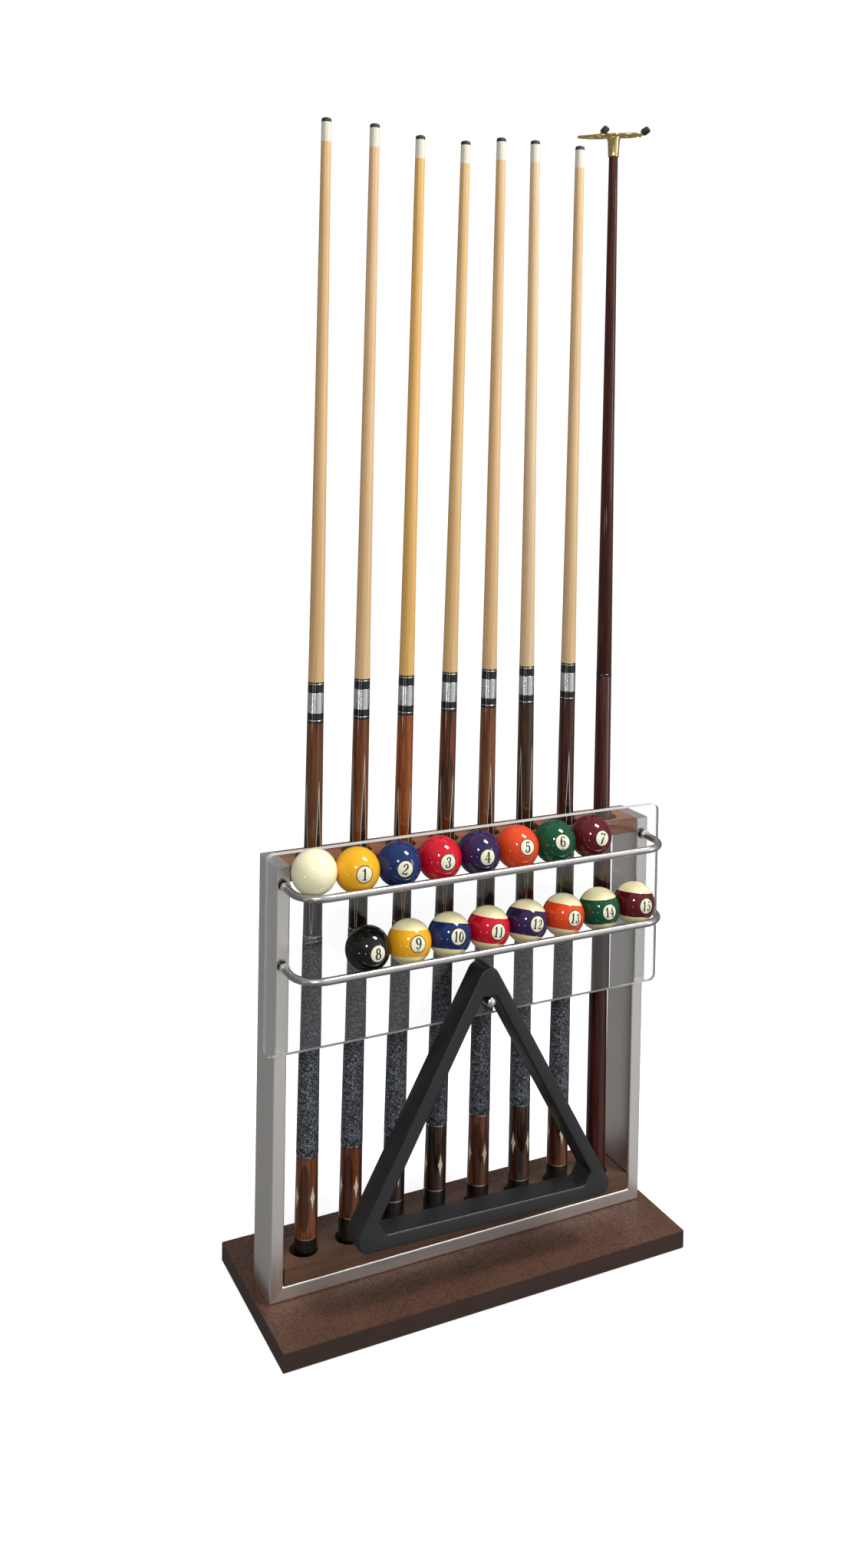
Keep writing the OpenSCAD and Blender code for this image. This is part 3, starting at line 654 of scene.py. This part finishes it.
# Strokes of each digit in a box one unit high: points of (x, y, half width)
DIGITS = {
    "0": [[(0.25 * math.sin(a), 0.46 * math.cos(a), 0.05 + 0.05 * abs(math.sin(a)))
           for a in np.linspace(0, math.tau, 25)]],
    "1": [[(0.02, -0.46, 0.085), (0.02, 0.44, 0.085)],
          [(0.0, 0.46, 0.04), (-0.09, 0.34, 0.04), (-0.2, 0.3, 0.035)],
          [(-0.2, -0.47, 0.035), (0.24, -0.47, 0.035)]],
    "2": [[(-0.19, 0.22, 0.075), (-0.17, 0.36, 0.05), (0.0, 0.46, 0.045), (0.16, 0.38, 0.07),
           (0.19, 0.2, 0.09), (0.08, 0.0, 0.07), (-0.1, -0.2, 0.045), (-0.23, -0.43, 0.04)],
          [(-0.22, -0.42, 0.05), (0.2, -0.42, 0.075), (0.25, -0.24, 0.03)]],
    "3": [[(-0.17, 0.28, 0.07), (-0.12, 0.42, 0.045), (0.04, 0.46, 0.045), (0.17, 0.34, 0.08),
           (0.15, 0.14, 0.07), (-0.03, 0.03, 0.035)],
          [(-0.03, 0.03, 0.035), (0.14, -0.04, 0.06), (0.22, -0.22, 0.09), (0.12, -0.42, 0.06),
           (-0.06, -0.47, 0.045), (-0.2, -0.38, 0.05), (-0.18, -0.26, 0.07)]],
    "4": [[(0.09, -0.44, 0.085), (0.09, 0.46, 0.08)],
          [(0.06, 0.46, 0.04), (-0.26, -0.15, 0.035)],
          [(-0.27, -0.17, 0.045), (0.27, -0.17, 0.045)],
          [(-0.07, -0.47, 0.035), (0.25, -0.47, 0.035)]],
    "5": [[(-0.15, 0.42, 0.06), (0.18, 0.42, 0.06), (0.22, 0.48, 0.02)],
          [(-0.15, 0.44, 0.035), (-0.18, 0.04, 0.035)],
          [(-0.18, 0.04, 0.035), (-0.02, 0.13, 0.045), (0.15, 0.07, 0.07), (0.21, -0.14, 0.095),
           (0.14, -0.38, 0.07), (-0.04, -0.47, 0.045), (-0.19, -0.4, 0.05), (-0.19, -0.28, 0.07)]],
    "6": [[(0.16, 0.32, 0.065), (0.13, 0.42, 0.05), (0.0, 0.47, 0.04), (-0.14, 0.34, 0.06),
           (-0.22, 0.06, 0.09), (-0.21, -0.2, 0.095), (-0.14, -0.4, 0.065), (0.0, -0.47, 0.045),
           (0.15, -0.4, 0.065), (0.21, -0.2, 0.09), (0.15, 0.0, 0.065), (0.02, 0.07, 0.045),
           (-0.14, -0.02, 0.04)]],
    "7": [[(-0.22, 0.41, 0.075), (0.24, 0.41, 0.075)],
          [(-0.23, 0.46, 0.03), (-0.24, 0.24, 0.03)],
          [(0.22, 0.4, 0.045), (0.06, 0.06, 0.07), (-0.02, -0.2, 0.09), (-0.03, -0.46, 0.095)]],
    "8": [[(0.17 * math.sin(a), 0.24 + 0.21 * math.cos(a), 0.045 + 0.035 * abs(math.sin(a)))
           for a in np.linspace(0, math.tau, 19)],
          [(0.22 * math.sin(a), -0.22 + 0.25 * math.cos(a), 0.045 + 0.045 * abs(math.sin(a)))
           for a in np.linspace(0, math.tau, 19)]],
}
DIGITS["9"] = [[(-x, -y, w) for x, y, w in stroke] for stroke in DIGITS["6"]]
UNDERLINE = [[(-0.16, -0.66, 0.035), (0.16, -0.66, 0.035)]]


def number_strokes(number):
    """All strokes of a number, in ball radii. A 6 or a 9 is underlined, and moved up for that."""
    text = str(number)
    height, narrow = NUMERAL[len(text)]
    lift, under = (UNDERLINE_ROOM, UNDERLINE) if text in "69" else (0.0, [])
    made = []
    for k, digit in enumerate(text):
        shift = (k - (len(text) - 1) / 2) * DIGIT_PITCH
        made += [[(x * narrow * height + shift, (y + lift) * height, w * height) for x, y, w in stroke]
                 for stroke in DIGITS[digit] + under]
    return made


def ink_distance(points, strokes):
    """Signed distance from each point of an (n, 2) array to the inked area, negative inside."""
    best = np.full(len(points), 1.0)
    for stroke in strokes:
        for (ax, ay, aw), (bx, by, bw) in zip(stroke, stroke[1:]):
            a, d = np.array([ax, ay]), np.array([bx - ax, by - ay])
            t = np.clip((points - a) @ d / max(d @ d, 1e-12), 0, 1)
            gap = np.linalg.norm(points - a - t[:, None] * d, axis=1) - (aw + (bw - aw) * t)
            best = np.minimum(best, gap)
    return best


def ball_mesh(name, number, finish, body, place):
    """Sphere with a pole at each number disc and fine rings under the digits, or a plain one."""
    fine = [math.radians(a) for a in np.linspace(0.55, 22.6, 34)]
    coarse = [math.radians(a) for a in np.linspace(26, 154, 38)]
    rings = [*fine, *coarse, *[math.pi - a for a in reversed(fine)]]
    if not number:
        rings = [math.radians(a) for a in np.linspace(2, 178, 64)]
    count = 96
    bm = bmesh.new()
    r = BALL_R * MM
    grid_faces(bm, [circle(r * math.sin(a), r * math.cos(a), count) for a in rings])
    if number:
        layer = bm.verts.layers.float.new("ink")
        bm.verts.ensure_lookup_table()
        at = np.array([v.co for v in bm.verts]) / r
        # the far disc carries the same number, turned so that it reads right from behind
        flat = np.stack([np.where(at[:, 2] > 0, at[:, 0], -at[:, 0]), at[:, 1]], 1)
        ink = ink_distance(flat, number_strokes(number))
        for v, d in zip(bm.verts, ink):
            v[layer] = float(d)
    return finish_mesh(name, bm, finish, body, place, 60)


SOLID = {1: (0.86, 0.42, 0.010), 2: (0.005, 0.022, 0.110), 3: (0.56, 0.004, 0.018),
         4: (0.026, 0.010, 0.062), 5: (0.72, 0.060, 0.010), 6: (0.001, 0.070, 0.028),
         7: (0.095, 0.003, 0.008), 8: (0.005, 0.005, 0.005)}
# where each number points, seen from the camera: right and down in ball radii, and its roll in degrees
AIMS = {1: (0.33, 0.20, 2), 2: (0.29, 0.23, -8), 3: (0.40, 0.19, -4), 4: (0.41, 0.22, 4),
        5: (0.49, 0.0, 0), 6: (0.40, 0.02, 2), 7: (0.575, 0.075, -8), 8: (0.47, 0.23, 8),
        9: (0.42, 0.125, 2), 10: (0.43, 0.095, -2), 11: (0.476, 0.18, -2), 12: (0.53, 0.12, -4),
        13: (0.57, 0.146, -2), 14: (0.51, 0.146, 10), 15: (0.61, 0.14, 2)}


def ball_place(node_name, aim):
    """Places a ball at its CAD node's middle, with its number turned as its aim says."""
    low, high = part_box(node_name)
    centre = (low + high) / 2
    back = (CAMERA_AT - centre).normalized()
    right = CAMERA_UP.cross(back).normalized()
    up = back.cross(right)
    x, down, roll = aim
    z_axis = (right * x - up * down + back * math.sqrt(1 - x * x - down * down)).normalized()
    y_axis = (up - z_axis * up.dot(z_axis)).normalized()
    y_axis = Matrix.Rotation(math.radians(roll), 3, z_axis) @ y_axis
    return basis(y_axis.cross(z_axis), y_axis, z_axis, centre)


def make_balls():
    cue_finish = ball_finish("cue_ball_resin", (0.93, 0.87, 0.58), False)
    piece = ball_mesh("white_ball", None, cue_finish, "cue_ball_body",
                      ball_place("cue_ball", (0.2, 0.1, 0)))
    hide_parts("cue_ball")
    for number, aim in AIMS.items():
        colour = SOLID[number if number < 9 else number - 8]
        finish = ball_finish(f"resin_{number}", colour, number > 8)
        piece = ball_mesh(f"pool_ball_{number}", number, finish, f"ball_{number}_body",
                          ball_place(f"ball_{number}", aim))
        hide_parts(f"ball_{number}")


# ---------------------------------------------------------------- triangle

# inner side, wall, depth, and how far the front face stands out from the panel
TRI_SIDE, TRI_WALL, TRI_DEPTH, TRI_FRONT = 328.5, 18.0, 38.0, 42.5
# outer corner radius, how far each inner corner is cut back, and the radius of all edges
TRI_CORNER, TRI_CUT, TRI_EDGE = 15.0, 16.0, 2.6
# inner corner: share of the cut that stays straight, and where its turn to the wall starts
CUT_STRAIGHT, CUT_TURNS_AT, TURN_REACH = 0.55, 0.86, 3.0
# degrees that the triangle hangs askew and its peg tips up, then the peg's radius and play
TRI_ROLL, PEG_TILT, PEG_R, PEG_GAP = 1.5, 4.5, 6.0, 0.3
PANEL_FACE = -41.55
# height of the peg's tip, and how far out from the panel it is
PEG_TIP_Z, PEG_REACH = 383, 49.4
PEG_ROOT_Z = PEG_TIP_Z - PEG_REACH * math.tan(math.radians(PEG_TILT))


def make_triangle():
    """Moulded triangle: rounded outer corners, cut inner corners, and softened edges all round."""
    finish = plain_solid("triangle_plastic", (0.014, 0.014, 0.016), 0.38, grain=900.0, depth=0.03,
                         vary=0.15)
    reach_out = (TRI_SIDE + 2 * math.sqrt(3) * TRI_WALL) / math.sqrt(3) - 2 * TRI_CORNER
    flat = TRI_SIDE / math.sqrt(3) - TRI_CUT
    half = TRI_CUT * math.tan(math.radians(30))
    loop = []
    steps = 12
    for corner in (90, 210, 330):
        a = math.radians(corner)
        centre = Vector((math.cos(a), math.sin(a)))
        side = Vector((-math.sin(a), math.cos(a)))
        for k in range(steps + 1):
            share = k / steps
            turn = math.radians(-60 + 120 * share)
            n_out = centre * math.cos(turn) + side * math.sin(turn)
            outer = centre * reach_out + n_out * TRI_CORNER
            # the inner corner is a flat cut whose two ends turn in a short curve
            s = (share - 0.5) * 2
            hand = 1 if s > 0 else -1
            bent = min(1.0, max(0.0, (abs(s) - CUT_STRAIGHT) / (1 - CUT_STRAIGHT)))
            swing = math.radians(60) * bent * hand
            n_in = centre * math.cos(swing) + side * math.sin(swing)
            if bent > 0:
                wall = centre * -math.cos(math.radians(30)) + side * hand * math.sin(math.radians(30))
                joint = centre * flat + side * half * hand
                end = centre * flat + side * half * CUT_TURNS_AT * hand
                away = joint + wall * (half * (1 - CUT_TURNS_AT) + TURN_REACH)
                inner = end.lerp(joint, bent).lerp(joint.lerp(away, bent), bent)
            else:
                inner = centre * flat + side * half * CUT_TURNS_AT * s / CUT_STRAIGHT
            loop.append((outer, n_out.normalized(), inner, n_in.normalized()))
    back, front = TRI_FRONT - TRI_DEPTH, TRI_FRONT
    curve = [math.radians(x) for x in (0, 22.5, 45, 67.5, 90)]
    rings = []
    # front edge outside then inside, back edge inside then outside: each a quarter round
    for kind, face, inward, order in (("out", front, -1, curve), ("in", front, -1, curve[::-1]),
                                      ("in", back, 1, curve), ("out", back, 1, curve[::-1])):
        for a in order:
            inset = TRI_EDGE * (1 - math.cos(a))
            rings.append((kind, inset, face + inward * TRI_EDGE * (1 - math.sin(a))))
    bm = bmesh.new()
    made = []
    for kind, inset, depth in rings:
        ring = []
        for outer, n_out, inner, n_in in loop:
            p = outer - n_out * inset if kind == "out" else inner + n_in * inset
            ring.append((p.x * MM, p.y * MM, depth * MM))
        made.append(ring)
    grid_faces(bm, made, closed_rings=True)
    tilt = Matrix.Rotation(math.radians(90 - PEG_TILT), 4, "X")
    root = Matrix.Translation(Vector((0, PANEL_FACE, PEG_ROOT_Z)) * MM)
    hang = Matrix.Translation(Vector((0, PEG_R + PEG_GAP - flat, 0)) * MM)
    place = root @ tilt @ Matrix.Rotation(math.radians(-TRI_ROLL), 4, "Z") @ hang
    piece = finish_mesh("triangle_moulding", bm, finish, "triangle", place, 40)
    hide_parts("triangle_rack")


# ---------------------------------------------------------------- carried-over CAD nodes


def paint(names, finish):
    for name in names:
        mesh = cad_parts[name].data
        mesh.materials.clear()
        mesh.materials.append(finish)


def paint_frame():
    satin = (0.90, 0.865, 0.83)
    paint(["left_upright", "right_upright"], brushed_steel("frame_steel_upright", satin, 0.34, "z"))
    # painted light: the bottom rail is the same steel as the uprights, given a lighter colour for the brighter
    # light on its faces; its brush lines along x and rougher finish are its own
    paint(["bottom_rail"], brushed_steel("frame_steel_rail_painted_lighter", (0.96, 0.935, 0.90), 0.38, "x"))
    paint(["upper_ball_rail", "lower_ball_rail"],
          brushed_steel("rail_satin", (0.55, 0.53, 0.515), 0.26, "x", 0.03))
    paint(["rail_washers"], smooth_metal("washer_steel", (0.82, 0.80, 0.77), 0.36))
    paint(["rail_nuts", "rail_pins", "frame_screws", "peg_screw"],
          smooth_metal("zinc", (0.62, 0.62, 0.60), 0.35))
    paint(["triangle_peg"], smooth_metal("peg_polish", (0.80, 0.80, 0.79), 0.14))
    paint(["base_board"], plain_solid("base_edge", (0.036, 0.015, 0.009), 0.55, grain=500.0, depth=0.05))
    # base leatherette: its own brown, then the darker colour that is painted as shade in the creases between
    # the grains
    paint(["base_top_sheet"],
          leatherette("base_leatherette", (0.110, 0.045, 0.025), (0.042, 0.016, 0.008), 430.0))
    paint(["base_feet", "hole_pads", "panel_spacers"],
          plain_solid("rubber_flat", (0.012, 0.012, 0.012), 0.7))
    paint(["lower_cue_tray"],
          board_wood("tray_brown", (0.130, 0.064, 0.037), (0.100, 0.047, 0.027), 0.5, 0.0, "x"))
    paint(["upper_cue_rail"],
          board_wood("rail_wood", (0.36, 0.125, 0.040), (0.20, 0.062, 0.020), 0.4, 0.2, "x"))
    paint(["acrylic_panel"], acrylic("clear_sheet"))


# ---------------------------------------------------------------- studio

# light from the room: everywhere, and more from the front right and from above
ROOM_DIM, ROOM_FRONT, ROOM_ABOVE = 0.20, 0.40, 0.30
SKY_STRENGTH, FLOOR_GLOW = 1.05, 0.62
FLOOR_HALF = 14


def area_light(name, at, toward, size, power):
    data = bpy.data.lights.new(name, "AREA")
    data.shape = "RECTANGLE"
    data.size, data.size_y = size
    data.energy = power
    light = bpy.data.objects.new(name, data)
    bpy.context.scene.collection.objects.link(light)
    light.location = at
    light.rotation_mode = "QUATERNION"
    light.rotation_quaternion = (Vector(toward) - Vector(at)).to_track_quat("-Z", "Y")
    light.visible_camera = False


def flat_sheet(name, half, finish):
    """Level square sheet at height 0, which is part of the studio."""
    bm = bmesh.new()
    for x, y in ((-half, -half), (half, -half), (half, half), (-half, half)):
        bm.verts.new((x, y, 0))
    bm.faces.new(bm.verts)
    sheet = finish_mesh(name, bm, finish, None)
    return sheet


def make_studio():
    """White floor and background, and a dimmer room that lights and is mirrored in the object.
    The floor glows a little, and neither reflections nor the view through the panel show it."""
    paper, tree, shader = material("floor_paper", 0.9)
    shader.inputs["Specular IOR Level"].default_value = 0.0
    speck = noise(tree, object_point(tree), 4.0, 3.0)
    plug(tree, shader.inputs["Base Color"], mix(tree, speck, (0.92, 0.92, 0.92), (0.94, 0.94, 0.94)))
    shader.inputs["Emission Color"].default_value = (1.0, 1.0, 1.0, 1.0)
    shader.inputs["Emission Strength"].default_value = FLOOR_GLOW
    floor = flat_sheet("floor", FLOOR_HALF, paper)
    floor.visible_glossy = False
    floor.visible_diffuse = False
    floor.visible_transmission = False
    world = bpy.data.worlds.new("studio")
    bpy.context.scene.world = world
    world.use_nodes = True
    tree = world.node_tree
    sky = tree.nodes["Background"]
    toward = node(tree, "TexCoord").outputs["Generated"]

    def level(direction, low, high, amount):
        near = node(tree, "VectorMath", {"operation": "DOT_PRODUCT"})
        tree.links.new(toward, near.inputs[0])
        near.inputs[1].default_value = Vector(direction).normalized()
        return ramp(tree, near.outputs["Value"], low, high, 0.0, amount)

    front = level((0.55, -0.82, 0.10), 0.55, 1.0, ROOM_FRONT)
    above = level((0.1, -0.3, 1.0), 0.1, 0.95, ROOM_ABOVE)
    room = calc(tree, "ADD", calc(tree, "ADD", front, above), ROOM_DIM)
    rays = node(tree, "LightPath").outputs
    # the white behind the clear panel shows only to rays that came straight through it
    clear = calc(tree, "MULTIPLY", rays["Is Transmission Ray"], calc(tree, "LESS_THAN", rays["Ray Depth"], 3.5))
    plain = calc(tree, "MAXIMUM", rays["Is Camera Ray"], clear)
    lit = calc(tree, "MAXIMUM", plain, room)
    plug(tree, sky.inputs["Color"], mix(tree, lit, (0.0, 0.0, 0.0), (1.0, 1.0, 1.0)))
    sky.inputs["Strength"].default_value = SKY_STRENGTH
    middle = (0, 0, 0.6)
    area_light("key", (-1.8, -2.8, 2.6), middle, (0.5, 0.5), 42)
    area_light("overhead", (0.95, -0.85, 2.7), middle, (0.6, 0.8), 46)
    area_light("fill_right", (2.6, -2.4, 1.3), middle, (0.5, 1.6), 16)
    area_light("lamp_left", (-2.5, -1.1, 0.30), middle, (0.2, 0.2), 1.6)
    area_light("lamp_front", (-1.6, -2.2, 0.36), middle, (0.14, 0.14), 1.4)
    bpy.context.scene.view_settings.view_transform = "Standard"


# ---------------------------------------------------------------- build

make_camera()
SHARED = {
    "tip": plain_solid("tip_leather", (0.022, 0.020, 0.020), 0.6, grain=700.0, depth=0.12),
    "ferrule": plain_solid("ferrule_ivory", (0.70, 0.67, 0.54), 0.22, coat=0.4, grain=200.0, depth=0.004,
                           vary=0.05),
    "black": plain_solid("collar_black", (0.004, 0.004, 0.004), 0.22, coat=0.3, grain=300.0, depth=0.004),
    "silver": smooth_metal("ring_silver", (0.80, 0.78, 0.72), 0.2),
    "polished": brushed_steel("joint_polish", (0.78, 0.78, 0.77), 0.24, "z", 0.01),
    "linen": linen("irish_linen"),
    "rubber": plain_solid("bumper_rubber", (0.014, 0.014, 0.014), 0.6, grain=500.0, depth=0.05),
}
paint_frame()
for cue in range(7):
    make_cue(cue, SHARED)
make_bridge(SHARED)
make_balls()
make_triangle()
make_studio()
